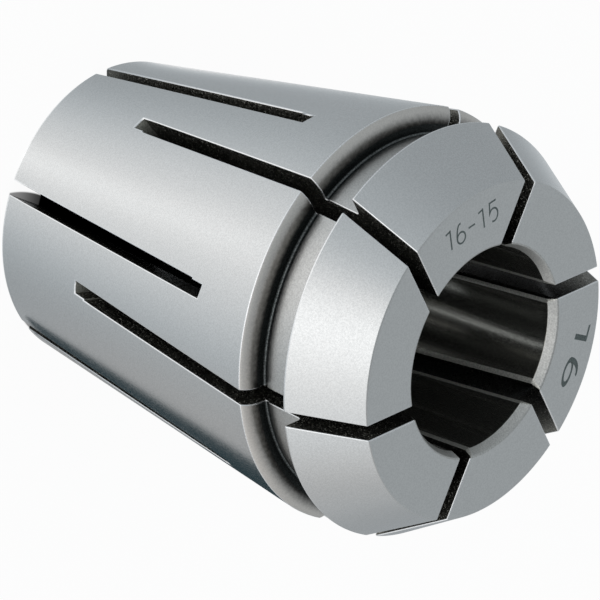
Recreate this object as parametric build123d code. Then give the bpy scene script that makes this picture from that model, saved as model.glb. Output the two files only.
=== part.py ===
from build123d import *
import math
import os

# Spring collet of size 32 for a 16 mm shank, one piece of hardened spring steel.
# Millimetres. The axis is Z, the small rear end stands on Z = 0 and the nose is on top.

# Body, turned
length = 40.0
bore_diameter = 16.0
taper_edge_diameter = 33.0
taper_half_angle = 8.0
rear_edge_chamfer = 0.25
rear_mouth_chamfer = 0.5
front_mouth_chamfer = 0.4
front_mouth_depth = 0.75

# Nut groove between the taper and the head
groove_depth = 1.9
groove_width = 3.65
shoulder_drop = 1.3
shoulder_length = 0.65
relief_depth = 0.15
relief_width = 0.3

# Head that the clamping nut snaps over and presses on
head_length = 5.5
head_overhang = 1.83
nose_half_angle = 30.0
head_rim_chamfer = 0.12
face_rim_chamfer = 0.1
underhead_chamfer = 0.2

# Slots, sawn in turn from the front and from the rear
slots_per_end = 6
slot_width = 1.2
slot_skew = 4.8
front_slot_offset = 2.4
rear_slot_offset = 1.2
front_slot_stop = 9.7
rear_slot_setback = 5.5
saw_radius = 31.5
saw_reach = 4.0
pilot_width = 1.08
pilot_length = 1.2

# How far a cutting shape stands clear of the metal
clear_of_part = 3.0

# Places along the axis
head_z = length - head_length
groove_z = head_z - groove_width
taper_edge_z = groove_z - shoulder_length
rear_slot_stop = taper_edge_z - rear_slot_setback

# Radii
bore_radius = bore_diameter / 2
taper_edge_radius = taper_edge_diameter / 2
neck_radius = taper_edge_radius - groove_depth
head_radius = neck_radius + head_overhang
face_radius = head_radius - head_length * math.tan(math.radians(nose_half_angle))
slot_pitch = 360.0 / slots_per_end


def taper_radius(z):
    """Radius of the taper at a height above the rear face."""
    return taper_edge_radius - (taper_edge_z - z) * math.tan(math.radians(taper_half_angle))


def section():
    """Half section of the turned blank, in the XZ plane."""
    shoulder_foot = taper_edge_radius - shoulder_drop
    relief_radius = neck_radius - relief_depth
    shoulder_bow = (shoulder_drop**2 + shoulder_length**2) / (2 * shoulder_length)
    relief_end = groove_z + relief_width
    rear = (taper_radius(0), 0)
    taper_edge = (taper_edge_radius, taper_edge_z)
    foot = (shoulder_foot, groove_z)
    shoulder = RadiusArc(taper_edge, foot, -shoulder_bow)
    inner = [
        (bore_radius, length - front_mouth_depth),
        (bore_radius, rear_mouth_chamfer),
        (bore_radius + rear_mouth_chamfer, 0),
        rear,
        taper_edge,
    ]
    outer = [
        foot,
        (relief_radius, groove_z),
        (relief_radius, relief_end),
        (neck_radius, relief_end + relief_depth),
        (neck_radius, head_z),
        (head_radius, head_z),
        (face_radius, length),
        (bore_radius + front_mouth_chamfer, length),
        (bore_radius, length - front_mouth_depth),
    ]
    outline = make_face([Polyline(*inner), shoulder, Polyline(*outer)])
    edge_breaks = (
        (rear, rear_edge_chamfer),
        ((neck_radius, head_z), underhead_chamfer),
        ((head_radius, head_z), head_rim_chamfer),
        ((face_radius, length), face_rim_chamfer),
    )
    for corner, size in edge_breaks:
        vertex = outline.vertices().sort_by_distance((*corner, 0))[0]
        outline = chamfer(vertex, size)
    return outline


def saw_path(stop, rim, from_front, width, side_shift):
    """Metal that one pass of the saw removes, before it is turned to its place.

    The saw's edge leaves the metal at the radius `rim`, at the height `stop`.
    """
    sign = 1 if from_front else -1
    saw_axis = saw_radius - saw_reach
    saw_z = stop + sign * math.sqrt(saw_radius**2 - (saw_axis - rim) ** 2)
    open_end = length + clear_of_part if from_front else -clear_of_part
    top = max(taper_edge_radius, head_radius) + clear_of_part
    run_end = sign * max(sign * open_end, sign * saw_z + clear_of_part)
    blade = Pos(saw_axis, saw_z) * Circle(saw_radius)
    run = Pos(saw_axis, (saw_z + run_end) / 2) * Rectangle(2 * saw_radius, abs(run_end - saw_z))
    reach = Pos((top - saw_reach) / 2, length / 2)
    window = reach * Rectangle(top + saw_reach, 4 * (length + saw_radius))
    profile = (blade + run) & window
    upright = Plane.XZ.offset(-side_shift) * profile
    return extrude(upright, amount=width / 2, both=True)


def slot(number, from_front):
    """One finished slot: a wide pass and a narrower pilot that runs on past it."""
    sign = 1 if from_front else -1
    stop = front_slot_stop if from_front else rear_slot_stop
    offset = front_slot_offset if from_front else rear_slot_offset
    open_face = length if from_front else 0.0
    turn = number * slot_pitch + (0.0 if from_front else slot_pitch / 2)
    beside_axis = offset + (stop - open_face) * math.tan(math.radians(slot_skew))
    rim = math.sqrt(taper_radius(stop) ** 2 - beside_axis**2)
    shift = -sign * (slot_width - pilot_width) / 2
    passes = saw_path(stop + sign * pilot_length, rim, from_front, slot_width, 0.0)
    passes += saw_path(stop, rim, from_front, pilot_width, shift)
    tilted = Pos(0, offset, open_face) * Rot(X=-slot_skew) * Pos(0, 0, -open_face) * passes
    return Rot(Z=turn) * tilted


def collet():
    """The turned blank with all its slots."""
    blank = revolve(Plane.XZ * section(), axis=Axis.Z)
    cuts = [slot(n, end) for n in range(slots_per_end) for end in (True, False)]
    return blank - cuts


os.makedirs("parts", exist_ok=True)
export_step(collet(), "parts/collet.step")
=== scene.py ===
"""A slotted spring collet in ground steel, standing on its small rear end.

Lengths are in millimetres until a mesh is written. Heights are above the rear face, and azimuth
0 points along +X. One sixth of the collet, with one front and one rear slot, is built as a mesh
of rings and columns, and a geometry node tree turns it round the axis into the whole.
"""

import logging
import math
from dataclasses import dataclass, field
from enum import Enum
from itertools import accumulate

import bmesh
import bpy
from mathutils import Matrix, Vector


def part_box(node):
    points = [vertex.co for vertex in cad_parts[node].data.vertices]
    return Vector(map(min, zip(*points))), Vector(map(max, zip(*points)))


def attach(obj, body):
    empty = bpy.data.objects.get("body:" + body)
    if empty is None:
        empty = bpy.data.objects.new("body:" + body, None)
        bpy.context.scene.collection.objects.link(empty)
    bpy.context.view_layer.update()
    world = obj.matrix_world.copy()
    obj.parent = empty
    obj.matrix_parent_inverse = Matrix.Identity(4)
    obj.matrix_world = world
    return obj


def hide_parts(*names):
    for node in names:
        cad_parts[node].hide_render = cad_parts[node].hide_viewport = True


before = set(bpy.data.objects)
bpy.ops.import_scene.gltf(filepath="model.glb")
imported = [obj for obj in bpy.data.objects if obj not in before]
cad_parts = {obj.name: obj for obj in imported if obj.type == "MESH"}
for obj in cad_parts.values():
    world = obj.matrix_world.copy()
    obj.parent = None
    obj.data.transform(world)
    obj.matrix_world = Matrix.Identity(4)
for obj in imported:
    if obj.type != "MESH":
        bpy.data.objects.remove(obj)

Pair = tuple[float, float]
Triple = tuple[float, float, float]
Socket = bpy.types.NodeSocket
Feeds = dict[str | int, object]
Vert = bmesh.types.BMVert

MM = 0.001
NODE = "collet"
LOG = logging.getLogger("collet")

WHITE = (1.0, 1.0, 1.0)
BORE_RADIUS = 8.0
FLECK_SIZE = 0.12
SPECK_SIZE = 0.15
RAG_SIZE = 0.3
FINE_DETAIL = 3.0
NOISE_SPAN = (0.35, 0.65)


class Surface(Enum):
    """The turned, ground and sawn surfaces of the collet, in the order of their mesh numbers."""

    REAR = 0
    TAPER = 1
    SHOULDER = 2
    GROOVE = 3
    NECK = 4
    NOSE = 5
    FACE = 6
    MOUTH = 7
    BORE = 8
    EDGE = 9
    SAWN = 10
    SAW_END = 11
    RELIEF = 12
    INNER_EDGE = 13


SOFT_EDGED = (Surface.REAR, Surface.NECK, Surface.FACE, Surface.MOUTH, Surface.BORE)


class Grain(Enum):
    """Which way the fine marks of a finish run."""

    ROUND_THE_AXIS = "round"
    ALONG_THE_AXIS = "along"
    NONE = "none"


class Rim(Enum):
    """The kinds of place on a slot's rim: a long side, the pilot's end, and where the wide pass ends."""

    SIDE = "side"
    END = "end"
    JOG = "jog"


@dataclass(frozen=True)
class Ring:
    """One ring of the turned outline, and the surface that runs on from it."""

    radius: float
    height: float
    surface: Surface


@dataclass(frozen=True)
class Corner:
    """One corner of the turned outline before its edge is broken."""

    radius: float
    height: float
    rounding: float
    surface: Surface


def unit(x: float, y: float) -> Pair:
    """The direction (x, y) at length 1."""
    size = math.hypot(x, y)
    return x / size, y / size


def wrapped(angle: float) -> float:
    """The same angle between minus and plus half a turn."""
    return (angle + math.pi) % (2 * math.pi) - math.pi


def spread(start: float, end: float, count: int) -> list[float]:
    """Evenly spaced values from start up to, and without, end."""
    return [start + (end - start) * n / count for n in range(count)]


@dataclass
class Turning:
    """The turned outline of the blank, a closed loop of rings.

    The loop runs out over the rear face, up the taper, over the nose and down the bore, so the
    metal lies on its left and the open air on its right.
    """

    length: float
    edge_radius: float
    bore_radius: float = BORE_RADIUS
    taper_angle: float = 8.0
    edge_height: float = 30.2
    groove_height: float = 30.85
    shoulder_drop: float = 1.3
    neck_depth: float = 1.9
    relief_depth: float = 0.15
    relief_width: float = 0.3
    head_length: float = 5.5
    head_overhang: float = 1.83
    nose_angle: float = 30.0
    rear_mouth: float = 0.5
    front_mouth: float = 0.4
    front_mouth_depth: float = 0.75
    broken_edge: float = 0.13
    mouth_rounding: float = 0.18
    rear_rounding: float = 0.3
    underhead_rounding: float = 0.2
    arc_steps: int = 4
    shoulder_steps: int = 12
    ring_pitch: float = 0.9
    face_pitch: float = 0.6
    ring_clearance: float = 0.35
    rings: list[Ring] = field(default_factory=list)

    @property
    def head_height(self) -> float:
        """Height of the back of the head."""
        return self.length - self.head_length

    @property
    def neck_radius(self) -> float:
        """Radius of the neck between the taper and the head."""
        return self.edge_radius - self.neck_depth

    @property
    def head_radius(self) -> float:
        """Largest radius of the head."""
        return self.neck_radius + self.head_overhang

    @property
    def face_radius(self) -> float:
        """Outer radius of the flat front face."""
        return self.head_radius - self.head_length * math.tan(math.radians(self.nose_angle))

    def taper_radius(self, height: float) -> float:
        """Radius of the taper at a height."""
        return self.edge_radius - (self.edge_height - height) * math.tan(math.radians(self.taper_angle))

    def corners(self) -> list[Corner]:
        """The outline's corners in order, each with the rounding that breaks it.

        Returns:
            The corners, from the rear mouth of the bore round to the bore's rear end.
        """
        edge, soft = self.broken_edge, self.mouth_rounding
        relief = self.neck_radius - self.relief_depth
        relief_end = self.groove_height + self.relief_width
        return [
            Corner(self.bore_radius + self.rear_mouth, 0.0, soft, Surface.REAR),
            Corner(self.taper_radius(0.0), 0.0, self.rear_rounding, Surface.TAPER),
            Corner(self.edge_radius, self.edge_height, edge, Surface.SHOULDER),
            *(Corner(radius, height, 0.0, Surface.SHOULDER) for radius, height in self.shoulder()),
            Corner(self.edge_radius - self.shoulder_drop, self.groove_height, 0.0, Surface.GROOVE),
            Corner(relief, self.groove_height, self.relief_depth, Surface.RELIEF),
            Corner(relief, relief_end, 0.0, Surface.RELIEF),
            Corner(self.neck_radius, relief_end + self.relief_depth, self.relief_depth / 2, Surface.NECK),
            Corner(self.neck_radius, self.head_height, self.underhead_rounding, Surface.NECK),
            Corner(self.head_radius, self.head_height, edge, Surface.NOSE),
            Corner(self.face_radius, self.length, edge, Surface.FACE),
            Corner(self.bore_radius + self.front_mouth, self.length, soft, Surface.MOUTH),
            Corner(self.bore_radius, self.length - self.front_mouth_depth, soft, Surface.BORE),
            Corner(self.bore_radius, self.rear_mouth, soft, Surface.MOUTH),
        ]

    def shoulder(self) -> list[Pair]:
        """Points of the shoulder's arc, which falls from the taper's edge into the groove.

        Returns:
            Radius and height of each point between the arc's two ends.
        """
        drop = self.shoulder_drop
        rise = self.groove_height - self.edge_height
        bow = (drop**2 + rise**2) / (2 * rise)
        whole = math.asin(drop / bow)
        foot = self.edge_radius - drop
        points = []
        for step in range(1, self.shoulder_steps):
            turn = whole * (1 - step / self.shoulder_steps)
            points.append((foot + bow * math.sin(turn), self.groove_height - bow + bow * math.cos(turn)))
        return points

    def rounded(self, before: Corner, corner: Corner, after: Corner) -> list[Ring]:
        """The rings that replace one corner.

        Args:
            before: The corner before it.
            corner: The corner to break.
            after: The corner after it.

        Returns:
            One ring where the corner stays sharp, or an arc of rings that touches both sides.
        """
        if corner.rounding <= 0:
            return [Ring(corner.radius, corner.height, corner.surface)]
        back = unit(before.radius - corner.radius, before.height - corner.height)
        ahead = unit(after.radius - corner.radius, after.height - corner.height)
        middle = unit(back[0] + ahead[0], back[1] + ahead[1])
        opening = math.acos(max(-1.0, min(1.0, back[0] * ahead[0] + back[1] * ahead[1])))
        reach = corner.rounding / math.tan(opening / 2)
        distance = corner.rounding / math.sin(opening / 2)
        centre, start, end = (
            (corner.radius + way[0] * size, corner.height + way[1] * size)
            for way, size in ((middle, distance), (back, reach), (ahead, reach))
        )
        first, last = (math.atan2(point[1] - centre[1], point[0] - centre[0]) for point in (start, end))
        turn = wrapped(last - first)
        outside = back[0] * ahead[1] - back[1] * ahead[0] < 0
        skin = Surface.EDGE if outside and corner.surface not in SOFT_EDGED else corner.surface
        arc = []
        for step in range(self.arc_steps + 1):
            angle = first + turn * step / self.arc_steps
            radius = centre[0] + corner.rounding * math.cos(angle)
            height = centre[1] + corner.rounding * math.sin(angle)
            arc.append(Ring(radius, height, corner.surface if step == self.arc_steps else skin))
        return arc

    def build(self, extra_outside: list[float], extra_inside: list[float]) -> None:
        """Fills the list of rings.

        Args:
            extra_outside: Heights at which the taper needs a ring, for the ends of the slots.
            extra_inside: Heights at which the bore needs a ring.
        """
        corners = self.corners()
        extra = {Surface.TAPER: extra_outside, Surface.BORE: extra_inside}
        coarse = []
        for n, corner in enumerate(corners):
            coarse += self.rounded(corners[n - 1], corner, corners[(n + 1) % len(corners)])
        for ring, after in zip(coarse, coarse[1:] + coarse[:1]):
            self.rings += [ring, *self.between(ring, after, extra.get(ring.surface, []))]

    def between(self, start: Ring, end: Ring, extra: list[float]) -> list[Ring]:
        """Rings that divide a long stretch evenly, with those that the slots need.

        Args:
            start: The ring that the stretch starts from.
            end: The ring that ends it.
            extra: Heights at which a ring is needed.

        Returns:
            The rings between the two, in order.
        """
        rise = end.height - start.height
        span = math.hypot(end.radius - start.radius, rise)
        pitch = self.ring_pitch if start.surface in (Surface.TAPER, Surface.BORE) else self.face_pitch
        count = max(1, round(span / pitch))
        needed = [height for height in extra if (height - start.height) * (height - end.height) < 0]
        shares = [(height - start.height) / rise for height in needed]
        gap = self.ring_clearance / count
        even = spread(0.0, 1.0, count)[1:]
        shares += [share for share in even if all(abs(share - other) > gap for other in shares)]
        rings = []
        for share in sorted(shares):
            radius = start.radius + (end.radius - start.radius) * share
            rings.append(Ring(radius, start.height + rise * share, start.surface))
        return rings

    def outward(self, index: int) -> Pair:
        """The way out of the metal at a ring, long enough to shift both sides by a length of 1.

        Args:
            index: The ring's place in the list.

        Returns:
            Radial and axial part of the direction.
        """
        before, ring, after = (self.rings[(index + n) % len(self.rings)] for n in (-1, 0, 1))
        a = unit(ring.radius - before.radius, ring.height - before.height)
        b = unit(after.radius - ring.radius, after.height - ring.height)
        share = 1 + a[1] * b[1] + a[0] * b[0]
        return (a[1] + b[1]) / share, (-a[0] - b[0]) / share

    def nearest(self, height: float, surface: Surface) -> int:
        """Index of the ring on a surface that is nearest to a height."""
        on_surface = [n for n, ring in enumerate(self.rings) if ring.surface is surface]
        return min(on_surface, key=lambda n: abs(self.rings[n].height - height))


@dataclass(frozen=True)
class Spot:
    """One place on a slot's rim, under a ring and a column of the skin.

    The side is the wall's signed distance from the slot's middle plane. The way is 1, -1 or 0, and
    points from the slot into the metal, across the slot. Outside is the taper, as against the bore.
    """

    kind: Rim
    ring: int
    column: int
    side: float
    way: int
    outside: bool


@dataclass
class SawSlot:
    """One slot: a wide pass of a saw, and a narrower pilot that runs on a little past it.

    Many methods say which pass and which end they mean: wide is True for the wide pass and False
    for the pilot, and outside is True on the taper and False in the bore.
    """

    turning: Turning
    from_front: bool
    azimuth: float
    offset: float
    stop: float
    width: float = 1.2
    pilot_width: float = 1.08
    pilot_length: float = 1.2
    skew: float = 4.8
    saw_radius: float = 31.5
    saw_reach: float = 4.0
    edge_break: float = 0.09
    bore_break: float = 0.45
    break_steps: int = 4
    brushed_steps: int = 2
    arc_steps: int = 14
    inner_columns: int = 2
    end_rounds: int = 12

    @property
    def sign(self) -> int:
        """1 where the slot is open at the front, and -1 where it is open at the rear."""
        return 1 if self.from_front else -1

    @property
    def open_face(self) -> float:
        """Height of the face that the slot is open at."""
        return self.turning.length if self.from_front else 0.0

    @property
    def half(self) -> float:
        """Distance of the wide pass's walls from the middle plane."""
        return self.width / 2

    @property
    def narrow(self) -> float:
        """Distance of the pilot's stepped wall from the middle plane."""
        return self.half - (self.width - self.pilot_width)

    @property
    def columns(self) -> int:
        """How many of the skin's columns run across the slot, both its edges included."""
        return self.inner_columns + 3

    @property
    def saw_axis(self) -> float:
        """Distance of the saw's axle from the collet's axis."""
        return self.saw_radius - self.saw_reach

    @property
    def slant(self) -> float:
        """The skew in radians."""
        return math.radians(self.skew)

    def broken(self, ring: Ring) -> float:
        """Radius of the slot's broken edge at a ring: wide in the bore and fine outside it."""
        share = min(1.0, max(0.0, (ring.radius - self.turning.bore_radius) / self.turning.front_mouth))
        return self.bore_break + (self.edge_break - self.bore_break) * share

    def sides(self, ring: Ring) -> list[float]:
        """Distances from the middle of the columns across the slot at a ring, smallest first.

        The narrow pilot leaves a step on one side, so one of the outer gaps is the step's width.

        Args:
            ring: The ring.

        Returns:
            One signed distance for each column.
        """
        edge = self.broken(ring)
        low, high = -self.half - edge, self.narrow + edge
        found = [*spread(low, high, self.inner_columns + 1), high, self.half + edge]
        return found if self.from_front else [-side for side in reversed(found)]

    def middle(self, height: float) -> float:
        """How far the slot's middle plane lies beside the axis at a height."""
        return self.offset + (height - self.open_face) * math.tan(self.slant)

    def beside(self, height: float, side: float) -> float:
        """How far a line at a distance from the middle plane lies beside the axis at a height."""
        return self.middle(height) + side / math.cos(self.slant)

    def skin_radius(self, height: float, outside: bool) -> float:
        """Radius of the taper at a height, or of the bore."""
        return self.turning.taper_radius(height) if outside else self.turning.bore_radius

    def stop_of(self, wide: bool) -> float:
        """Height on the taper at which a pass stops."""
        return self.stop + (self.sign * self.pilot_length if wide else 0.0)

    def axle_height(self, wide: bool) -> float:
        """Height of the saw's axle, in the saw's own tilted frame, for a pass.

        Args:
            wide: The pass.

        Returns:
            The height.
        """
        rim = math.sqrt(self.turning.taper_radius(self.stop) ** 2 - self.middle(self.stop) ** 2)
        rise = math.sqrt(self.saw_radius**2 - (self.saw_axis - rim) ** 2)
        return self.stop_of(wide) + self.sign * rise

    def tilted(self, height: float, side: float) -> float:
        """Height in the saw's frame of a point at a height and a distance beside the middle."""
        return self.open_face + (height - self.open_face + side * math.sin(self.slant)) / math.cos(self.slant)

    def upright(self, tilted: float, side: float) -> float:
        """Height of a point given by its height in the saw's frame."""
        return self.open_face - side * math.sin(self.slant) + (tilted - self.open_face) * math.cos(self.slant)

    def place(self, radius: float, height: float, side: float) -> Vector:
        """The point at a radius and a height that lies beside the slot's middle plane.

        Args:
            radius: Distance from the collet's axis.
            height: Height above the rear face.
            side: Signed distance from the middle plane, square to it.

        Returns:
            The point in metres, turned to the slot's azimuth.
        """
        beside = self.beside(height, side)
        along = math.sqrt(max(radius**2 - beside**2, 0.0))
        turn = math.radians(self.azimuth)
        x = along * math.cos(turn) - beside * math.sin(turn)
        y = along * math.sin(turn) + beside * math.cos(turn)
        return Vector((x * MM, y * MM, height * MM))

    def column_azimuth(self, ring: Ring, side: float) -> float:
        """Azimuth in radians at which a line beside the slot crosses a ring.

        Args:
            ring: The ring. Past the end of the slot the line runs on square to it.
            side: The line's signed distance from the middle plane.

        Returns:
            The azimuth.
        """
        limit = max if self.from_front else min
        beside = self.beside(limit(ring.height, self.stop), side)
        return math.radians(self.azimuth) + math.asin(beside / ring.radius)

    def end_point(self, outside: bool, wide: bool, side: float) -> Pair:
        """Where a pass of the saw leaves the metal.

        Args:
            outside: The end.
            wide: The pass.
            side: Signed distance from the middle plane.

        Returns:
            Radius and height of the point.
        """
        axle = self.axle_height(wide)
        height = self.stop_of(wide)
        for _ in range(self.end_rounds):
            along = math.sqrt(self.skin_radius(height, outside) ** 2 - self.beside(height, side) ** 2)
            rise = math.sqrt(self.saw_radius**2 - (self.saw_axis - along) ** 2)
            height = self.upright(axle - self.sign * rise, side)
        return self.skin_radius(height, outside), height

    def rim_height(self, outside: bool, wide: bool) -> float:
        """Height at which the broken edge round a pass's end meets the skin."""
        size = self.edge_break if outside else self.bore_break
        return self.end_point(outside, wide, 0.0)[1] - self.sign * size

    def end_frame(self, outside: bool, wide: bool, point: Pair) -> tuple[Pair, Pair]:
        """Directions at the end of a pass: along the surface away from it, and into the metal.

        Args:
            outside: The end.
            wide: The pass.
            point: Radius and height of the end.

        Returns:
            Two directions, each as its radial and axial part.
        """
        lean = math.radians(self.turning.taper_angle) if outside else 0.0
        away = (-self.sign * math.sin(lean), -self.sign * math.cos(lean))
        spoke = (point[0] - self.saw_axis, self.tilted(point[1], 0.0) - self.axle_height(wide))
        inward = unit(-self.sign * spoke[1], self.sign * spoke[0])
        if (inward[0] > 0) == outside:
            inward = (-inward[0], -inward[1])
        return away, inward

    def rim_point(self, step: int, spot: Spot) -> Vector:
        """A point on the broken edge round the slot's mouth.

        Args:
            step: 0 on the skin, and break_steps on the slot's wall.
            spot: The place on the rim.

        Returns:
            The point in metres.
        """
        base = self.turning.rings[spot.ring]
        size = self.broken(base)
        turn = math.pi / 2 * step / self.break_steps
        out, deep = size * (1 - math.sin(turn)), size * (1 - math.cos(turn))
        if spot.kind is Rim.SIDE:
            normal = self.turning.outward(spot.ring)
            radius = base.radius - deep * normal[0]
            height = base.height - deep * normal[1]
        else:
            wide = spot.kind is Rim.JOG
            radius, height = self.end_point(spot.outside, wide, spot.side)
            away, inward = self.end_frame(spot.outside, wide, (radius, height))
            radius += out * away[0] + deep * inward[0]
            height += out * away[1] + deep * inward[1]
        return self.place(radius, height, spot.side + spot.way * out)


@dataclass(frozen=True)
class Cut:
    """What one slot cuts from the skin: a stretch of rings, and the columns across it.

    The rings run from one end of the slot over its mouth to the other, going up the taper. The jogs
    are the places in that list at which the wide pass starts and ends. The columns start on the
    slot's plain side and end on its stepped one.
    """

    slot: SawSlot
    rings: list[int]
    jog_in: int
    jog_out: int
    columns: list[int]

    def wall(self, first: int, last: int, column: int, side: float) -> list[Spot]:
        """The places along one wall.

        Args:
            first: The place in the list of rings that the wall starts at.
            last: The place that it ends at, before or after the first.
            column: The skin's column that the wall is under.
            side: Distance from the middle plane, below 0 on the plain side.

        Returns:
            The places in order.
        """
        sign = self.slot.sign
        forward = 1 if last > first else -1
        spots = []
        for n in range(first, last + forward, forward):
            jog = side > 0 and n in (self.jog_in, self.jog_out)
            kind = Rim.END if n in (0, len(self.rings) - 1) else Rim.JOG if jog else Rim.SIDE
            outside = self.slot.from_front == (n <= self.jog_in)
            way = sign if side > 0 else -sign
            spots.append(Spot(kind, self.rings[n], column, sign * side, way, outside))
        return spots

    def end(self, place: int) -> list[Spot]:
        """The places between the walls at one end of the slot.

        Args:
            place: The end's place in the list of rings.

        Returns:
            The places, from the plain side to the stepped one.
        """
        slot = self.slot
        outside = slot.from_front == (place == 0)
        sides = spread(-slot.half, slot.narrow, slot.inner_columns + 1)[1:]
        ring = self.rings[place]
        pairs = zip(self.columns[1:-2], sides)
        return [Spot(Rim.END, ring, column, slot.sign * side, 0, outside) for column, side in pairs]

    def runs(self) -> list[list[Spot]]:
        """The whole rim, in six runs.

        Returns:
            The plain wall, the far end, the pilot's wall up to the wide pass, the wide pass's wall,
            the pilot's wall past it, and the near end.
        """
        last = len(self.rings) - 1
        plain, pilot, wide = self.columns[0], self.columns[-2], self.columns[-1]
        return [
            self.wall(0, last, plain, -self.slot.half),
            self.end(last),
            self.wall(last, self.jog_out, pilot, self.slot.narrow),
            self.wall(self.jog_out, self.jog_in, wide, self.slot.half),
            self.wall(self.jog_in, 0, pilot, self.slot.narrow),
            self.end(0)[::-1],
        ]

    def cells(self) -> set[tuple[int, int]]:
        """The skin's cells that the slot leaves open.

        Returns:
            Ring and column number of each cell.
        """
        found = set()
        for n, ring in enumerate(self.rings[:-1]):
            columns = self.columns if self.jog_in <= n < self.jog_out else self.columns[:-1]
            found |= {(ring, min(pair)) for pair in zip(columns, columns[1:])}
        return found


@dataclass
class Sector:
    """One sixth of the collet: the skin between two lands, with a front and a rear slot in it."""

    turning: Turning
    front: SawSlot
    rear: SawSlot
    pitch: float
    land_columns: int = 16
    bm: bmesh.types.BMesh = field(default_factory=bmesh.new)
    finish: bmesh.types.BMLayerItem | None = None
    skin: list[list[Vert]] = field(default_factory=list)

    def azimuths(self, ring: Ring) -> list[float]:
        """Azimuth of each column at a ring, from mid land to mid land.

        Args:
            ring: The ring.

        Returns:
            The azimuths in radians.
        """
        front = [self.front.column_azimuth(ring, side) for side in self.front.sides(ring)]
        rear = [self.rear.column_azimuth(ring, side) for side in self.rear.sides(ring)]
        pitch = math.radians(self.pitch)
        middle = (rear[-1] - pitch + front[0]) / 2
        half = self.land_columns // 2
        return [
            *spread(middle, front[0], half),
            *front,
            *spread(front[-1], rear[0], self.land_columns)[1:],
            *rear,
            *spread(rear[-1], middle + pitch, half)[1:],
            middle + pitch,
        ]

    def first_column(self, slot: SawSlot) -> int:
        """Number of the skin's first column across a slot."""
        half = self.land_columns // 2
        return half if slot.from_front else half + self.front.columns + self.land_columns - 1

    def lay_skin(self) -> None:
        """Makes a vertex for each ring and column."""
        for ring in self.turning.rings:
            row = []
            for azimuth in self.azimuths(ring):
                x, y = ring.radius * math.cos(azimuth), ring.radius * math.sin(azimuth)
                row.append(self.bm.verts.new((x * MM, y * MM, ring.height * MM)))
            self.skin.append(row)

    def plan(self, slot: SawSlot) -> Cut:
        """Finds the rings and columns that a slot cuts.

        Args:
            slot: The slot.

        Returns:
            Its cut.
        """
        count = len(self.turning.rings)
        ends = []
        for outside in (slot.from_front, not slot.from_front):
            surface = Surface.TAPER if outside else Surface.BORE
            for wide in (False, True):
                ends.append(self.turning.nearest(slot.rim_height(outside, wide), surface))
        start, jog_in, end, jog_out = ends
        rings = [(start + n) % count for n in range((end - start) % count + 1)]
        first = self.first_column(slot)
        columns = list(range(first, first + slot.columns))[:: slot.sign]
        return Cut(slot, rings, (jog_in - start) % count, (jog_out - start) % count, columns)

    def cut(self, slot: SawSlot) -> set[tuple[int, int]]:
        """Builds a slot's broken edge and walls on the skin.

        Args:
            slot: The slot to build.

        Returns:
            The skin's cells that the slot leaves open, as ring and column numbers.
        """
        cut = self.plan(slot)
        runs = cut.runs()
        loop = [spot for run in runs for spot in run]
        levels = [self.rim(slot, loop, step) for step in range(slot.break_steps + 1)]
        inside = [self.turning.rings[spot.ring].surface in (Surface.BORE, Surface.MOUTH) for spot in loop]
        for step, (outer, inner) in enumerate(zip(levels, levels[1:])):
            inner_kind = Surface.INNER_EDGE if step < slot.brushed_steps else Surface.SAWN
            for n in range(len(loop)):
                after = (n + 1) % len(loop)
                kind = inner_kind if inside[n] and inside[after] else Surface.EDGE
                self.face((outer[n], outer[after], inner[after], inner[n]), kind)
        self.walls(slot, runs, levels[-1])
        return cut.cells()

    def rim(self, slot: SawSlot, loop: list[Spot], step: int) -> list[Vert]:
        """The vertices of one line of the broken edge round a slot.

        Args:
            slot: The slot.
            loop: The places round it.
            step: 0 for the line on the skin, whose vertices are moved to their exact place.

        Returns:
            One vertex for each place.
        """
        verts = []
        for spot in loop:
            point = slot.rim_point(step, spot)
            if step == 0:
                vert = self.skin[spot.ring][spot.column]
                vert.co = point
            else:
                vert = self.bm.verts.new(point)
            verts.append(vert)
        return verts

    def arc(self, slot: SawSlot, start: Vert, end: Vert, wide: bool, side: float) -> list[Vert]:
        """The saw's arc between two vertices of a wall.

        Args:
            slot: The slot.
            start: The vertex that the arc starts from.
            end: The vertex that it ends at.
            wide: True for the wide pass, False for the pilot.
            side: Signed distance of the wall from the slot's middle plane.

        Returns:
            The arc's vertices, with both ends.
        """
        axle = Vector((slot.saw_axis, slot.axle_height(wide)))
        unturn = Matrix.Rotation(-math.radians(slot.azimuth), 4, "Z")
        ends = []
        for vert in (start, end):
            point = unturn @ vert.co / MM
            ends.append(Vector((point.x, slot.tilted(point.z, side))) - axle)
        near, far = (spoke.length for spoke in ends)
        first, last = (math.atan2(spoke.y, spoke.x) for spoke in ends)
        turn = wrapped(last - first)
        verts = [start]
        for share in spread(0.0, 1.0, slot.arc_steps)[1:]:
            length = near + (far - near) * share
            angle = first + turn * share
            height = slot.upright(axle.y + length * math.sin(angle), side)
            radius = math.hypot(axle.x + length * math.cos(angle), slot.beside(height, side))
            verts.append(self.bm.verts.new(slot.place(radius, height, side)))
        return [*verts, end]

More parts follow.
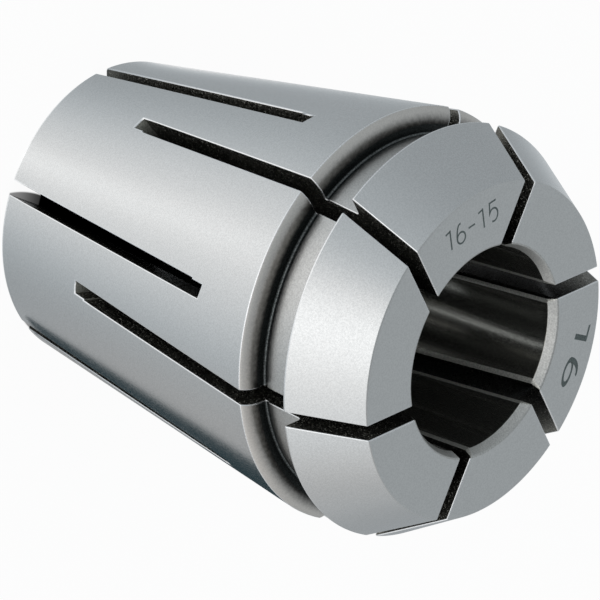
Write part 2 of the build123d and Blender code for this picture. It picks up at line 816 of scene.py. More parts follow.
    def walls(self, slot: SawSlot, runs: list[list[Spot]], rim: list[Vert]) -> None:
        """Builds a slot's two walls, its rounded end and the ledge where the wide pass stops.

        Args:
            slot: The slot.
            runs: The six runs of places round its rim.
            rim: The innermost line of the broken edge.
        """
        cuts = [0, *accumulate(len(run) for run in runs)]
        plain, far, pilot_far, wide, pilot_near, near = (rim[a:b] for a, b in zip(cuts, cuts[1:]))
        sides = [spot.side for spot in (runs[0][-1], *runs[1], runs[2][0])]
        far = [plain[-1], *far, pilot_far[0]]
        near = [plain[0], *near[::-1], pilot_near[-1]]
        arcs = [self.arc(slot, a, b, False, side) for a, b, side in zip(far, near, sides)]
        ledge_wide = self.arc(slot, wide[-1], wide[0], True, slot.sign * slot.half)
        ledge_pilot = self.arc(slot, pilot_near[0], pilot_far[-1], True, slot.sign * slot.narrow)
        for one, two in (*zip(arcs, arcs[1:]), (ledge_wide, ledge_pilot)):
            for n in range(slot.arc_steps):
                self.face((one[n], one[n + 1], two[n + 1], two[n]), Surface.SAW_END)
        self.face((*plain, *arcs[0][1:-1]), Surface.SAWN)
        self.face((*wide, *ledge_wide[1:-1]), Surface.SAWN)
        pilot = (*pilot_near, *arcs[-1][-2:0:-1], *pilot_far, *ledge_pilot[-2:0:-1])
        self.face(pilot, Surface.SAWN)

    def face(self, verts: tuple[Vert, ...], surface: Surface) -> None:
        """Makes a smooth face and writes down which surface it belongs to.

        Args:
            verts: The face's corners.
            surface: The surface.
        """
        made = self.bm.faces.new(verts)
        made.smooth = True
        made[self.finish] = surface.value

    def build(self) -> bpy.types.Mesh:
        """Builds the sector.

        Returns:
            Its mesh, open where it meets the next sector.
        """
        self.finish = self.bm.faces.layers.int.new("surface")
        self.lay_skin()
        gone = self.cut(self.front) | self.cut(self.rear)
        pairs = zip(self.skin, self.skin[1:] + self.skin[:1])
        for n, (ring, (row, after)) in enumerate(zip(self.turning.rings, pairs)):
            for column in range(len(row) - 1):
                if (n, column) not in gone:
                    corners = (row[column], row[column + 1], after[column + 1], after[column])
                    self.face(corners, ring.surface)
        loose = [vert for vert in self.bm.verts if not vert.link_faces]
        bmesh.ops.delete(self.bm, geom=loose, context="VERTS")
        for edge in self.bm.edges:
            edge.smooth = len({face[self.finish] for face in edge.link_faces}) == 1
        mesh = bpy.data.meshes.new("sector")
        self.bm.to_mesh(mesh)
        self.bm.free()
        return mesh


@dataclass(frozen=True)
class NodeDesk:
    """The node tree of a material, a world or a modifier, with short ways to add to it."""

    tree: bpy.types.NodeTree

    def add(self, kind: str, inputs: Feeds | None = None, **options: object) -> bpy.types.Node:
        """Adds a node.

        Args:
            kind: The node's type.
            inputs: What to feed it, as in feed.
            options: The node's own settings, which are made first.

        Returns:
            The node.
        """
        node = self.tree.nodes.new(kind)
        for name, value in options.items():
            setattr(node, name, value)
        self.feed(node, inputs or {})
        return node

    def feed(self, node: bpy.types.Node, inputs: Feeds) -> None:
        """Links sockets to a node's inputs, or sets the inputs to plain values.

        Args:
            node: The node.
            inputs: Each socket or value, under the name or the number of its input.
        """
        for name, value in inputs.items():
            if isinstance(value, Socket):
                self.tree.links.new(value, node.inputs[name])
            else:
                node.inputs[name].default_value = value

    def maths(self, operation: str, *values: object) -> Socket:
        """The result of a math node over sockets or numbers."""
        return self.add("ShaderNodeMath", dict(enumerate(values)), operation=operation).outputs["Value"]

    def total(self, first: Socket, *others: Socket) -> Socket:
        """The sum of sockets.

        Args:
            first: The first.
            others: The rest.

        Returns:
            Their sum.
        """
        for other in others:
            first = self.maths("ADD", first, other)
        return first

    def ramp(self, source: Socket, span: Pair, result: Pair = (0.0, 1.0)) -> Socket:
        """Maps a span of a value to another span, smoothly and held at its ends.

        Args:
            source: The value.
            span: The two values that are mapped.
            result: What they become.

        Returns:
            The mapped value.
        """
        inputs = dict(zip(("Value", "From Min", "From Max", "To Min", "To Max"), (source, *span, *result)))
        return self.add("ShaderNodeMapRange", inputs, interpolation_type="SMOOTHSTEP").outputs["Result"]

    def blend(self, factor: Socket, low: Triple | Socket, high: Triple | Socket) -> Socket:
        """A colour between two.

        Args:
            factor: 0 for the low colour and 1 for the high one.
            low: The one colour, plain or as a socket.
            high: The other.

        Returns:
            The blended colour.
        """
        a, b = (colour if isinstance(colour, Socket) else (*colour, 1.0) for colour in (low, high))
        node = self.add("ShaderNodeMix", {"Factor": factor, "A": a, "B": b}, data_type="RGBA")
        return node.outputs["Result"]

    def noise(self, place: Socket, size: float, detail: float = 2.0) -> Socket:
        """A noise whose grains have a size in millimetres."""
        inputs = {"Vector": place, "Scale": 1 / (size * MM), "Detail": detail}
        return self.add("ShaderNodeTexNoise", inputs).outputs["Fac"]

    def parts(self, vector: Socket) -> list[Socket]:
        """The X, Y and Z of a vector."""
        return list(self.add("ShaderNodeSeparateXYZ", {"Vector": vector}).outputs)

    def millimetres(self, vector: Socket) -> list[Socket]:
        """The X, Y and Z of a vector in metres, as millimetres."""
        return [self.maths("DIVIDE", part, MM) for part in self.parts(vector)]

    def length(self, x: Socket, y: Socket) -> Socket:
        """The length of a flat vector."""
        return self.maths("SQRT", self.total(self.maths("MULTIPLY", x, x), self.maths("MULTIPLY", y, y)))

    def lobe(self, angle: Socket, centre: float, width: float) -> Socket:
        """A bell over an angle.

        Args:
            angle: The angle in radians.
            centre: The angle in degrees at which the bell is 1.
            width: The distance from there in degrees at which it has fallen to 1/e.

        Returns:
            The bell's height.
        """
        off = self.maths("WRAP", self.maths("SUBTRACT", angle, math.radians(centre)), math.pi, -math.pi)
        off = self.maths("DIVIDE", off, math.radians(width))
        return self.maths("EXPONENT", self.maths("MULTIPLY", self.maths("MULTIPLY", off, off), -1.0))


@dataclass(frozen=True)
class Scale:
    """Painted shade that darkens the steel's colour along a line round the axis, and thins out away from it.
    """

    radius: float
    height: float | None
    reach: Pair
    left: float = 0.04
    raggedness: float = 0.05

    def share(self, desk: NodeDesk, place: Socket) -> Socket:
        """How much of the steel's colour the painted shade leaves.

        Args:
            desk: The material's node tree.
            place: The object coordinate.

        Returns:
            A share from nearly none on the line to 1 outside the painted shade.
        """
        x, y, z = desk.millimetres(place)
        away = desk.maths("SUBTRACT", desk.length(x, y), self.radius)
        if self.height is not None:
            away = desk.length(away, desk.maths("SUBTRACT", z, self.height))
        rough = desk.noise(place, RAG_SIZE, FINE_DETAIL)
        ragged = desk.ramp(rough, NOISE_SPAN, (-self.raggedness, self.raggedness))
        return desk.ramp(desk.total(away, ragged), self.reach, (self.left, 1.0))


@dataclass(frozen=True)
class SteelFinish:
    """A finish of the steel, made as one procedural material."""

    name: str
    colour: Triple
    roughness: float
    grain_pitch: float
    grain_depth: float
    grain: Grain = Grain.NONE
    speckle: float = 0.08
    fleck: float = 0.05
    fleck_span: Pair = NOISE_SPAN
    metallic: float = 1.0
    painted_shade: Scale | None = None
    dull_flecks: bool = False

    def material(self) -> bpy.types.Material:
        """Builds the material.

        Returns:
            A material that reads object coordinates alone.
        """
        material = bpy.data.materials.new(self.name)
        material.use_nodes = True
        desk = NodeDesk(material.node_tree)
        place = desk.add("ShaderNodeTexCoord").outputs["Object"]
        flecks = desk.noise(place, FLECK_SIZE, FINE_DETAIL)
        dark, light = (
            tuple(min(1.0, channel * share) for channel in self.colour)
            for share in (1 - self.fleck, 1 + self.fleck)
        )
        colour = desk.blend(desk.ramp(flecks, self.fleck_span), dark, light)
        metallic = self.metallic
        if self.dull_flecks:
            metallic = desk.ramp(flecks, self.fleck_span, (self.metallic, 0.0))
        # Painted shade: where the finish has one, its colour is darkened by the painted shade's share.
        if self.painted_shade:
            inputs = {"Vector": colour, "Scale": self.painted_shade.share(desk, place)}
            colour = desk.add("ShaderNodeVectorMath", inputs, operation="SCALE").outputs["Vector"]
        shine = (self.roughness - self.speckle / 2, self.roughness + self.speckle / 2)
        grains = desk.noise(self.grain_place(desk, place), self.grain_pitch, FINE_DETAIL)
        bump = desk.add("ShaderNodeBump", {"Distance": self.grain_depth * MM, "Height": grains})
        inputs = {
            "Base Color": colour,
            "Metallic": metallic,
            "Roughness": desk.ramp(desk.noise(place, SPECK_SIZE), NOISE_SPAN, shine),
            "Normal": bump.outputs["Normal"],
        }
        desk.feed(material.node_tree.nodes["Principled BSDF"], inputs)
        return material

    def grain_place(self, desk: NodeDesk, place: Socket) -> Socket:
        """The coordinate along which the fine marks change.

        Args:
            desk: The material's node tree.
            place: The object coordinate.

        Returns:
            The coordinate that the grain's noise reads.
        """
        if self.grain is Grain.NONE:
            return place
        x, y, z = desk.parts(place)
        if self.grain is Grain.ALONG_THE_AXIS:
            z = desk.maths("MULTIPLY", desk.maths("ARCTAN2", y, x), BORE_RADIUS * MM)
        return desk.add("ShaderNodeCombineXYZ", {"X": z}).outputs["Vector"]


# Painted shade at the neck's start under the shoulder, on the turned neck and the broken edges.
PAINTED_NECK_SHADE = Scale(14.6, 31.2, (-0.45, 0.85))
# Painted shade on the shoulder, darker towards the groove.
PAINTED_SHOULDER_SHADE = Scale(15.2, 30.85, (-0.1, 1.1))
# Painted shade on the sawn walls and the saw's end, darker deep in the slot towards the bore.
PAINTED_SAW_WALL_SHADE = Scale(9.0, None, (0.0, 4.0), 0.12)
PAINTED_SAW_END_SHADE = Scale(11.5, None, (0.0, 2.2), 0.15)

GROUND = SteelFinish("ground_steel", (0.70, 0.71, 0.71), 0.22, 0.22, 0.004)
FACED = SteelFinish("faced_steel", (0.72, 0.725, 0.715), 0.34, 0.22, 0.003)
TURNED = SteelFinish("turned_steel", (0.67, 0.67, 0.655), 0.34, 0.16, 0.008, fleck=0.10, painted_shade=PAINTED_NECK_SHADE)
MOUTHED = SteelFinish("mouth_steel", (0.62, 0.62, 0.60), 0.46, 0.12, 0.006, fleck=0.12)
ROUNDED = SteelFinish("shoulder_steel", (0.76, 0.73, 0.69), 0.34, 0.16, 0.006, painted_shade=PAINTED_SHOULDER_SHADE)
GROOVED = SteelFinish("groove_steel", (0.035, 0.04, 0.04), 0.40, 0.10, 0.004, Grain.ROUND_THE_AXIS, fleck=0.5)
RELIEVED = SteelFinish("relief_steel", (0.12, 0.13, 0.13), 0.36, 0.10, 0.006, fleck=0.5)
BRUSHED = SteelFinish("brushed_edge", (0.64, 0.64, 0.60), 0.40, 0.12, 0.006, fleck=0.15, metallic=0.8)
MARKED = SteelFinish("dark_mark", (0.17, 0.20, 0.195), 0.45, 0.12, 0.004, fleck=0.2)
HONED = SteelFinish(
    "honed_bore", (0.31, 0.31, 0.285), 0.15, 0.25, 0.0015, Grain.ALONG_THE_AXIS, metallic=0.95
)
# Painted highlight: the broken edges are lighter than the ground steel so that their highlights come out
# brighter.
EDGED = SteelFinish("broken_edge", (0.95, 0.96, 0.97), 0.28, 0.10, 0.001, painted_shade=PAINTED_NECK_SHADE)
SAWN = SteelFinish(
    "sawn_wall", (0.36, 0.35, 0.31), 0.35, 0.12, 0.020, speckle=0.2, fleck=0.5, fleck_span=(0.60, 0.68),
    metallic=0.95, painted_shade=PAINTED_SAW_WALL_SHADE, dull_flecks=True,
)
SAW_END = SteelFinish(
    "saw_end", (0.24, 0.24, 0.21), 0.45, 0.10, 0.006, speckle=0.2, fleck=0.3, metallic=0.3, painted_shade=PAINTED_SAW_END_SHADE
)

FINISH_OF = {
    Surface.REAR: FACED,
    Surface.TAPER: GROUND,
    Surface.SHOULDER: ROUNDED,
    Surface.GROOVE: GROOVED,
    Surface.NECK: TURNED,
    Surface.NOSE: GROUND,
    Surface.FACE: FACED,
    Surface.MOUTH: MOUTHED,
    Surface.BORE: HONED,
    Surface.EDGE: EDGED,
    Surface.SAWN: SAWN,
    Surface.SAW_END: SAW_END,
    Surface.RELIEF: RELIEVED,
    Surface.INNER_EDGE: BRUSHED,
}


Finishes = dict[Surface, SteelFinish]


@dataclass
class RoundPattern:
    """A geometry node tree that turns a sector round the axis, joins the copies and dresses them."""

    copies: int
    weld_distance: float
    sockets: dict[str, str] = field(default_factory=dict)

    def tree(self, finishes: Finishes) -> bpy.types.NodeTree:
        """Builds the tree.

        Args:
            finishes: The finish of each surface.

        Returns:
            The tree, with the number of copies and the weld distance as named inputs.
        """
        tree = bpy.data.node_groups.new("round_pattern", "GeometryNodeTree")
        face = tree.interface
        face.new_socket("Geometry", in_out="INPUT", socket_type="NodeSocketGeometry")
        for name, kind in (("Copies", "NodeSocketInt"), ("Weld distance", "NodeSocketFloat")):
            self.sockets[name] = face.new_socket(name, in_out="INPUT", socket_type=kind).identifier
        face.new_socket("Geometry", in_out="OUTPUT", socket_type="NodeSocketGeometry")
        desk = NodeDesk(tree)
        given = desk.add("NodeGroupInput").outputs
        points = desk.add("GeometryNodePoints", {"Count": given["Copies"]}).outputs[0]
        step = desk.maths("DIVIDE", 2 * math.pi, given["Copies"])
        turn = desk.maths("MULTIPLY", desk.add("GeometryNodeInputIndex").outputs["Index"], step)
        inputs = {"Axis": (0.0, 0.0, 1.0), "Angle": turn}
        rotation = desk.add("FunctionNodeAxisAngleToRotation", inputs).outputs["Rotation"]
        inputs = {"Points": points, "Instance": given["Geometry"], "Rotation": rotation}
        placed = desk.add("GeometryNodeInstanceOnPoints", inputs).outputs["Instances"]
        real = desk.add("GeometryNodeRealizeInstances", {"Geometry": placed}).outputs["Geometry"]
        inputs = {"Geometry": real, "Distance": given["Weld distance"]}
        shape = desk.add("GeometryNodeMergeByDistance", inputs).outputs["Geometry"]
        number = desk.add("GeometryNodeInputNamedAttribute", {"Name": "surface"}, data_type="INT")
        number = number.outputs["Attribute"]
        made = {finish: finish.material() for finish in dict.fromkeys(finishes.values())}
        for surface, finish in finishes.items():
            inputs = {"A": number, "B": surface.value}
            chosen = desk.add("FunctionNodeCompare", inputs, data_type="INT", operation="EQUAL")
            inputs = {"Geometry": shape, "Selection": chosen.outputs["Result"], "Material": made[finish]}
            shape = desk.add("GeometryNodeSetMaterial", inputs).outputs["Geometry"]
        desk.add("NodeGroupOutput", {"Geometry": shape})
        return tree

    def apply(self, mesh: bpy.types.Mesh, name: str, finishes: Finishes) -> bpy.types.Object:
        """Runs the tree on a sector.

        Args:
            mesh: The sector's mesh.
            name: The name of the piece.
            finishes: The finish of each surface.

        Returns:
            The whole piece as a plain mesh object.
        """
        piece = bpy.data.objects.new(name, mesh)
        bpy.context.scene.collection.objects.link(piece)
        modifier = piece.modifiers.new("round_pattern", "NODES")
        modifier.node_group = self.tree(finishes)
        modifier[self.sockets["Copies"]] = self.copies
        modifier[self.sockets["Weld distance"]] = self.weld_distance * MM
        evaluated = piece.evaluated_get(bpy.context.evaluated_depsgraph_get())
        whole = bpy.data.meshes.new_from_object(evaluated)
        piece.modifiers.clear()
        piece.data = whole
        return piece


@dataclass
class Collet:
    """The collet's one piece."""

    name: str = "collet_body"
    slots_per_end: int = 6
    front_offset: float = 2.4
    front_stop: float = 9.7
    rear_offset: float = 1.2
    rear_setback: float = 5.5
    weld_distance: float = 0.002

    def build(self) -> bpy.types.Object:
        """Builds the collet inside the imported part's box.

        Returns:
            The finished piece.
        """
        low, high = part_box(NODE)
        turning = Turning(length=(high.z - low.z) / MM, edge_radius=(high.x - low.x) / MM / 2)
        pitch = 360.0 / self.slots_per_end
        front = SawSlot(turning, True, 0.0, self.front_offset, self.front_stop)
        rear_stop = turning.edge_height - self.rear_setback
        rear = SawSlot(turning, False, pitch / 2, self.rear_offset, rear_stop)
        passes = [(slot, wide) for slot in (front, rear) for wide in (False, True)]
        heights = ([slot.rim_height(outside, wide) for slot, wide in passes] for outside in (True, False))
        turning.build(*heights)
        mesh = Sector(turning, front, rear, pitch).build()
        piece = RoundPattern(self.slots_per_end, self.weld_distance).apply(mesh, self.name, FINISH_OF)
        self.face_outwards(piece.data)
        return piece

    def face_outwards(self, mesh: bpy.types.Mesh) -> None:
        """Turns every face outwards and reports what isn't closed.

        Args:
            mesh: The piece's mesh.
        """
        bm = bmesh.new()
        bm.from_mesh(mesh)
        bmesh.ops.recalc_face_normals(bm, faces=bm.faces)
        loose = sum(not edge.is_manifold for edge in bm.edges)
        volume = bm.calc_volume() / MM**3
        LOG.info("mesh: %d faces, %d open edges, %.0f cubic mm", len(bm.faces), loose, volume)
        bm.to_mesh(mesh)
        bm.free()

    def dress(self, piece: bpy.types.Object) -> None:
        """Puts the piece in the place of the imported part's node.

        Args:
            piece: The finished piece.
        """
        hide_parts(NODE)
        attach(piece, "root")


@dataclass(frozen=True)
class SizeMark:
    """A plain number on the front face, drawn in dark strokes on one straight line.

    Its tops point away from the axis, and it is wider than it is high where it is stretched.
    """

    name: str
    text: str
    azimuth: float
    distance: float
    start: float
    pitch: float
    height: float
    stroke: float
    stretch: float = 1.0
    proud: float = 0.002
    sunk: float = 0.02

    def strokes(self, sign: str) -> list[list[Pair]]:
        """The strokes of a sign, in a box of height 1 round its middle.

        Args:
            sign: One of 1, 5, 6 and the hyphen.

        Returns:
            The points of each stroke.
        """
        if sign == "1":
            return [[(0.06, 0.5), (0.06, -0.5)], [(0.06, 0.44), (-0.24, 0.38)]]
        if sign == "6":
            turns = spread(0.0, 2 * math.pi, 24)
            bowl = [(0.27 * math.cos(turn), 0.28 * math.sin(turn) - 0.22) for turn in turns]
            back = [(-0.27 * math.cos(turn), 0.72 * math.sin(turn) - 0.22) for turn in spread(0.0, 1.9, 12)]
            return [bowl + bowl[:1], back]
        if sign == "5":
            bowl = [(0.28 * math.cos(turn), 0.33 * math.sin(turn) - 0.17) for turn in spread(2.6, -2.4, 16)]
            return [[(0.24, 0.5), (-0.2, 0.5), *bowl]]
        return [[(-0.22, 0.0), (0.22, 0.0)]]

    def place(self, spot: Vector, level: float) -> Vector:
        """The point at a spot in the mark's plane.

        Args:
            spot: How far along the line and how far outwards the spot is.
            level: Its height above the plane.

        Returns:
            The point in metres.
        """
        turn = math.radians(self.azimuth)
        out = Vector((math.cos(turn), math.sin(turn), 0.0)) * (self.distance + spot.y)
        along = Vector((math.sin(turn), -math.cos(turn), 0.0)) * (spot.x * self.stretch)
        return (out + along + Vector((0, 0, level))) * MM

    def slab(self, bm: bmesh.types.BMesh, line: list[Vector], proud: float) -> None:
        """Adds one stroke as a closed slab that is mostly sunk in the metal.

        Args:
            bm: The mesh to add to.
            line: The stroke's middle line.
            proud: How far the stroke stands above the face.
        """
        legs = [(after - point).normalized() for point, after in zip(line, line[1:])]
        top, under = [], []
        first, last = (legs[-1:], legs[:1]) if line[0] == line[-1] else (legs[:1], legs[-1:])
        for point, back, ahead in zip(line, first + legs, legs + last):
            across = (back + ahead).normalized().orthogonal()
            reach = across * (self.stroke / 2 / across.dot(back.orthogonal()))
            for row, level in ((top, proud), (under, -self.sunk)):
                row.append([bm.verts.new(self.place(point + side * reach, level)) for side in (1, -1)])
        for (a, b), (c, d), (e, f), (g, h) in zip(top, top[1:], under, under[1:]):
            for corners in ((a, b, d, c), (e, g, h, f), (a, c, g, e), (b, f, h, d)):
                bm.faces.new(corners)
        for end in (0, -1):
            bm.faces.new((*top[end], *reversed(under[end])))

    def build(self, finish: bpy.types.Material) -> bpy.types.Object:
        """Builds the mark.

        Args:
            finish: The material of its strokes.

        Returns:
            The finished piece.
        """
        bm = bmesh.new()
        for n, sign in enumerate(self.text):
            middle = (self.start + n * self.pitch) / self.stretch
            for level, stroke in enumerate(self.strokes(sign), start=1):
                line = [Vector((middle + u * self.height, v * self.height)) for u, v in stroke]
                self.slab(bm, line, self.proud * level)
        bmesh.ops.recalc_face_normals(bm, faces=bm.faces)
        mesh = bpy.data.meshes.new(self.name)
        bm.to_mesh(mesh)
        bm.free()
        mesh.transform(Matrix.Translation((0, 0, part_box(NODE)[1].z)))
        mesh.materials.append(finish)
        piece = bpy.data.objects.new(self.name, mesh)
        bpy.context.scene.collection.objects.link(piece)
        return piece

    def dress(self, piece: bpy.types.Object) -> None:
        """Fixes the mark to the collet."""
        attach(piece, "root")


MARKS = (
    SizeMark("bore_mark", "16", 96.0, 11.3, start=-2.6, pitch=3.05, height=1.6, stroke=0.2, stretch=2.3),
    SizeMark("range_mark", "16-15", -138.8, 11.03, start=-2.44, pitch=1.22, height=1.65, stroke=0.15),
)


@dataclass(frozen=True)
class Pool:
    """A soft bright side of the sky, or a pool of painted light on the floor, from a low level to a high one.
    """

    azimuth: float
    width: float
    low: float
    high: float

    def over(self, desk: NodeDesk, azimuth: Socket) -> Socket:
        """The level at an azimuth in radians."""
        bell = desk.lobe(azimuth, self.azimuth, self.width)
        return desk.maths("MULTIPLY_ADD", bell, self.high - self.low, self.low)


@dataclass(frozen=True)
class Disc:
    """A round place on the floor, with a thin blur at its edge."""

    x: float
    y: float
    radius: float
    blur: float = 0.1

    def outside(self, desk: NodeDesk, x: Socket, y: Socket) -> Socket:
        """0 inside the disc and 1 outside it."""
        away = desk.length(desk.maths("SUBTRACT", x, self.x), desk.maths("SUBTRACT", y, self.y))
        return desk.ramp(away, (self.radius - self.blur, self.radius + self.blur))


@dataclass(frozen=True)
class Softbox:
    """A soft lamp that looks at the middle of the collet, hidden from the camera and the metal."""

    name: str
    azimuth: float
    elevation: float
    distance: float
    size: Pair
    power: float
    aim: float = 20.0

    def build(self) -> None:
        """Builds the lamp and turns it to the collet."""
        light = bpy.data.lights.new(self.name, "AREA")
        light.shape = "RECTANGLE"
        light.size, light.size_y = (side * MM for side in self.size)
        light.energy = self.power
        lamp = bpy.data.objects.new(self.name, light)
        turn, rise = math.radians(self.azimuth), math.radians(self.elevation)
        flat = math.cos(rise)
        way = Vector((flat * math.cos(turn), flat * math.sin(turn), math.sin(rise)))
        lamp.location = (Vector((0, 0, self.aim)) + way * self.distance) * MM
        lamp.rotation_euler = way.to_track_quat("Z", "Y").to_euler()
        lamp.visible_camera = False
        lamp.visible_glossy = False
        bpy.context.scene.collection.objects.link(lamp)


@dataclass
class Studio:
    """A plain pale floor, soft lamps and the camera at the photograph's angle.

    The camera sees a white floor. The metal sees pools of light painted on the floor, and pools of light in
    the sky: the near pools reach it from beside its foot and the far ones from farther out. A painted
    shadow lies beside it on the floor, seen by the metal alone, as a wedge that opens away from its place,
    with a lit gap along one edge.

    The floor is painted dark in the foot's disc, and where the slot's disc lies in the rim's, which is where
    it
    is seen through a slot: painted shadow. A faint painted glow grows outwards there, and the hole's disc,
    which is under the bore, has none. Places and reaches are in millimetres, and angles are in degrees.
    """

    camera_place: Triple = (-2.16, -242.71, 215.23)
    camera_right: Triple = (-0.35402, 0.58649, 0.72849)
    camera_up: Triple = (-0.93516, -0.21234, -0.28352)
    camera_lens: float = 239.78
    camera_clip: Pair = (10.0, 10000.0)
    lamps: tuple[Softbox, ...] = (
        Softbox("front_softbox", -68.0, 24.0, 300.0, (260.0, 160.0), 0.10),
        Softbox("top_softbox", -120.0, 70.0, 500.0, (400.0, 400.0), 0.5),
    )
    floor_size: float = 1500.0
    floor_colour: float = 0.93
    white_share: float = 0.95
    # Pools of painted light on the floor, seen by the metal alone: near_pools and far_pools, with
    # neutral_pool and neutral_lift.
    near_pools: tuple[Pool, ...] = (
        Pool(-96.0, 28.0, 0.43, 0.99), Pool(-182.0, 13.0, 0.0, 0.80), Pool(-97.0, 5.5, 0.0, 0.16)
    )
    far_pools: tuple[Pool, ...] = (
        Pool(-92.0, 44.0, 0.40, 0.98), Pool(105.0, 18.0, 0.0, 0.30), Pool(22.0, 16.0, 0.0, 0.14)
    )
    sky_pools: tuple[Pool, ...] = (
        Pool(-76.0, 29.0, 0.42, 1.21), Pool(-30.0, 45.0, 0.0, 0.48), Pool(-128.0, 30.0, 0.0, 0.13)
    )
    near_azimuth: float = -96.0
    near_reach: Pair = (36.0, 46.0)
    near_turn: Pair = (2.3, 16.0)
    sky_level: float = 0.45
    sky_band: Pair = (0.38, 0.62)
    sky_top: float = 0.34
    # A painted shadow on the floor, seen by the metal alone: a dark wedge with a lit gap.
    painted_shadow_place: Pair = (11.36, -6.05)
    painted_shadow_azimuth: float = 59.5
    painted_shadow_edge: Pair = (24.84, 29.16)
    painted_shadow_reach: Pair = (50.0, 64.0)
    painted_shadow_gap: Pair = (60.0, 64.0)
    gap_reach: Pair = (27.0, 31.0)
    painted_shadow_colour: Triple = (0.0, 0.045, 0.065)
    cool_light: Triple = (0.92, 0.985, 1.03)
    cool_span: Pair = (0.45, 1.10)
    neutral_pool: Pool = Pool(8.0, 34.0, 0.0, 0.9)
    neutral_lift: float = 0.025
    # Painted shadow under the collet: the floor is dark in these discs, with a faint painted glow from
    # foot_shade and foot_levels.
    foot: Disc = Disc(0.26, 0.15, 8.8)
    slot: Disc = Disc(11.0, -8.3, 10.0)
    rim: Disc = Disc(0.0, 0.0, 12.1)
    hole: Disc = Disc(0.0, 0.0, 8.6)
    foot_shade: Pair = (8.3, 12.3)
    foot_levels: Pair = (0.035, 0.26)

    def build(self) -> None:
        """Makes the floor, the world, the lamps and the camera."""
        self.floor()
        self.world()
        for lamp in self.lamps:
            lamp.build()
        self.camera()

    def floor(self) -> None:
        """A flat pale sheet at the height of the collet's rear face."""
        half = self.floor_size / 2 * MM
        mesh = bpy.data.meshes.new("floor")
        corners = [(-half, -half, 0), (half, -half, 0), (half, half, 0), (-half, half, 0)]
        mesh.from_pydata(corners, [], [(0, 1, 2, 3)])
        sheet = bpy.data.objects.new("floor", mesh)
        bpy.context.scene.collection.objects.link(sheet)
        mesh.materials.append(self.floor_material())

    def floor_material(self) -> bpy.types.Material:
        """Paper that shows white to the camera and painted pools of light to the metal, is painted dark under
        the collet, and keeps the shadow.

        Returns:
            The floor's material.
        """
        material = bpy.data.materials.new("pale_floor")
        material.use_nodes = True
        material.node_tree.nodes.clear()
        desk = NodeDesk(material.node_tree)
        path = desk.add("ShaderNodeLightPath").outputs
        camera, metal = path["Is Camera Ray"], path["Is Glossy Ray"]
        x, y, _ = desk.millimetres(desk.add("ShaderNodeNewGeometry").outputs["Position"])
        level, colour = self.floor_as_metal_sees(desk, x, y)
        # Painted shadow: the paper and its glow go dark under the collet; the shade is a faint painted glow
        # that grows outwards.
        discs = (self.foot, self.slot, self.rim, self.hole)
        foot, slot, rim, hole = (disc.outside(desk, x, y) for disc in discs)
        open_floor = desk.maths("MINIMUM", foot, desk.maths("MAXIMUM", slot, rim))
        shade = desk.ramp(desk.length(x, y), self.foot_shade, self.foot_levels)
        lit = desk.maths("MAXIMUM", open_floor, desk.maths("MULTIPLY", shade, hole))
        share = desk.maths("MULTIPLY", desk.maths("MAXIMUM", metal, camera), lit)
        paper = {"Color": desk.maths("MULTIPLY", open_floor, self.floor_colour)}
        # The floor glows white to the camera, and to the metal with painted pools of light and the painted
        # shadow.
        light = {
            "Color": desk.blend(metal, WHITE, colour),
            "Strength": desk.maths("MULTIPLY_ADD", level, metal, camera),
        }
        mix = {
            "Fac": desk.maths("MULTIPLY", share, self.white_share),
            1: desk.add("ShaderNodeBsdfDiffuse", paper).outputs["BSDF"],
            2: desk.add("ShaderNodeEmission", light).outputs["Emission"],
        }
        shader = desk.add("ShaderNodeMixShader", mix).outputs["Shader"]
        desk.add("ShaderNodeOutputMaterial", {"Surface": shader})
        return material

    def floor_as_metal_sees(self, desk: NodeDesk, x: Socket, y: Socket) -> tuple[Socket, Socket]:
        """The floor's painted light for the metal: the near pools, the far ones beyond them, and the painted
        shadow.

        The near pools are drawn apart with the distance from the axis, as the taper's curve asks.

        Args:
            desk: The floor's node tree.
            x: The place along X.
            y: The place along Y.

        Returns:
            The strength and the colour.
        """
        radius = desk.length(x, y)
        azimuth = desk.maths("ARCTAN2", y, x)
        outer, inner = self.near_turn
        turn = desk.maths("SUBTRACT", outer, desk.maths("DIVIDE", inner, radius))
        front = math.radians(self.near_azimuth)
        off = desk.maths("WRAP", desk.maths("SUBTRACT", azimuth, front), math.pi, -math.pi)
        side = desk.maths("ADD", desk.maths("DIVIDE", off, turn), front)
        near = desk.total(*(pool.over(desk, side) for pool in self.near_pools))
        far = desk.total(*(pool.over(desk, azimuth) for pool in self.far_pools))
        beyond = desk.ramp(radius, self.near_reach)
        level = desk.maths("MULTIPLY_ADD", desk.maths("SUBTRACT", far, near), beyond, near)
        neutral = self.neutral_pool.over(desk, azimuth)
        level = desk.maths("MULTIPLY_ADD", neutral, self.neutral_lift, level)
        clear = self.clear_of_painted_shadow(desk, x, y)
        return level, desk.blend(clear, self.painted_shadow_colour, self.tinted(desk, level, neutral))

    def clear_of_painted_shadow(self, desk: NodeDesk, x: Socket, y: Socket) -> Socket:
        """Where the painted shadow isn't.

        Args:
            desk: The floor's node tree.
            x: The place along X.
            y: The place along Y.

        Returns:
            0 on the painted shadow, and 1 beside it, past its end and in its gap.
        """
        shadow_x, shadow_y = self.painted_shadow_place
        radius = desk.length(x, y)
        aside = desk.maths("ARCTAN2", desk.maths("SUBTRACT", y, shadow_y), desk.maths("SUBTRACT", x, shadow_x))
        aside = desk.maths("DEGREES", aside)
        in_reach = desk.ramp(radius, self.gap_reach, (1.0, 0.0))
        gap = desk.maths("MINIMUM", desk.ramp(aside, self.painted_shadow_gap), in_reach)
        off = desk.maths("ABSOLUTE", desk.maths("SUBTRACT", aside, self.painted_shadow_azimuth))
        clear = desk.maths("MAXIMUM", desk.ramp(off, self.painted_shadow_edge), desk.ramp(radius, self.painted_shadow_reach))
        return desk.maths("MAXIMUM", clear, gap)

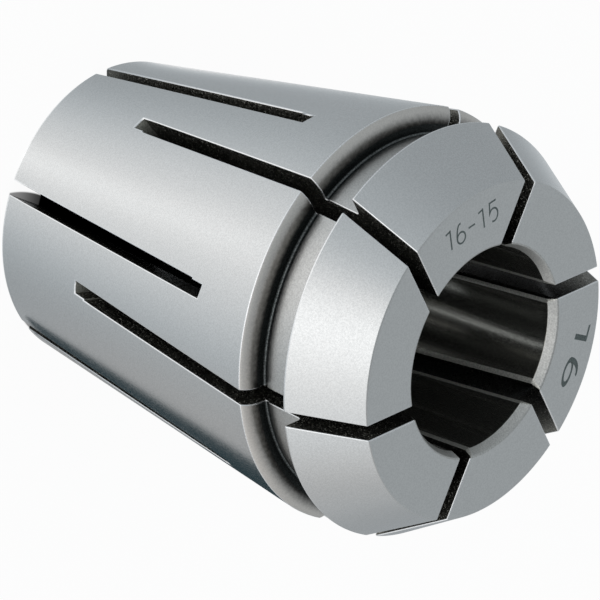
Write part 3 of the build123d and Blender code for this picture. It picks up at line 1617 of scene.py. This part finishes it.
    def tinted(self, desk: NodeDesk, level: Socket, neutral: Socket) -> Socket:
        """The colour of the light that the metal sees.

        Args:
            desk: The node tree.
            level: The light's strength, which is cool where it is low.
            neutral: How far the light is neutral whatever its strength.

        Returns:
            The colour.
        """
        bright = desk.ramp(level, self.cool_span)
        return desk.blend(desk.maths("MAXIMUM", bright, neutral), self.cool_light, WHITE)

    def world(self) -> None:
        """An even grey sky, in which the metal alone sees soft bright sides."""
        world = bpy.data.worlds.new("sky")
        bpy.context.scene.world = world
        world.use_nodes = True
        desk = NodeDesk(world.node_tree)
        x, y, height = desk.parts(desk.add("ShaderNodeTexCoord").outputs["Object"])
        azimuth = desk.maths("ARCTAN2", y, x)
        pools = desk.total(*(pool.over(desk, azimuth) for pool in self.sky_pools))
        low = desk.ramp(height, self.sky_band, (1.0, 0.0))
        rise = desk.maths("MULTIPLY", desk.maths("SUBTRACT", pools, self.sky_level), low)
        fall = desk.ramp(height, (self.sky_band[1], 1.0), (0.0, self.sky_top - self.sky_level))
        metal = desk.add("ShaderNodeLightPath").outputs["Is Glossy Ray"]
        strength = desk.maths("MULTIPLY_ADD", desk.total(rise, fall), metal, self.sky_level)
        colour = self.tinted(desk, strength, self.neutral_pool.over(desk, azimuth))
        desk.feed(world.node_tree.nodes["Background"], {"Color": colour, "Strength": strength})

    def camera(self) -> None:
        """The camera, turned as the photograph's was."""
        right, up = Vector(self.camera_right), Vector(self.camera_up)
        turn = Matrix((right, up, right.cross(up))).transposed().to_4x4()
        data = bpy.data.cameras.new("camera")
        data.lens = self.camera_lens
        data.clip_start, data.clip_end = (reach * MM for reach in self.camera_clip)
        camera = bpy.data.objects.new("camera", data)
        camera.matrix_world = Matrix.Translation(Vector(self.camera_place) * MM) @ turn
        bpy.context.scene.collection.objects.link(camera)
        bpy.context.scene.camera = camera


def main() -> None:
    """Builds the collet, dresses it and sets the studio round it."""
    logging.basicConfig(level=logging.INFO, format="%(name)s: %(message)s")
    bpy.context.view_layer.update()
    collet = Collet()
    piece = collet.build()
    collet.dress(piece)
    finishes = sum(bool(finish) for finish in piece.data.materials)
    LOG.info("%s: %d faces in %d finishes", piece.name, len(piece.data.polygons), finishes)
    ink = MARKED.material()
    for mark in MARKS:
        mark.dress(mark.build(ink))
    Studio().build()
    bpy.context.scene.view_settings.view_transform = "Standard"


if __name__ == "__main__":
    main()
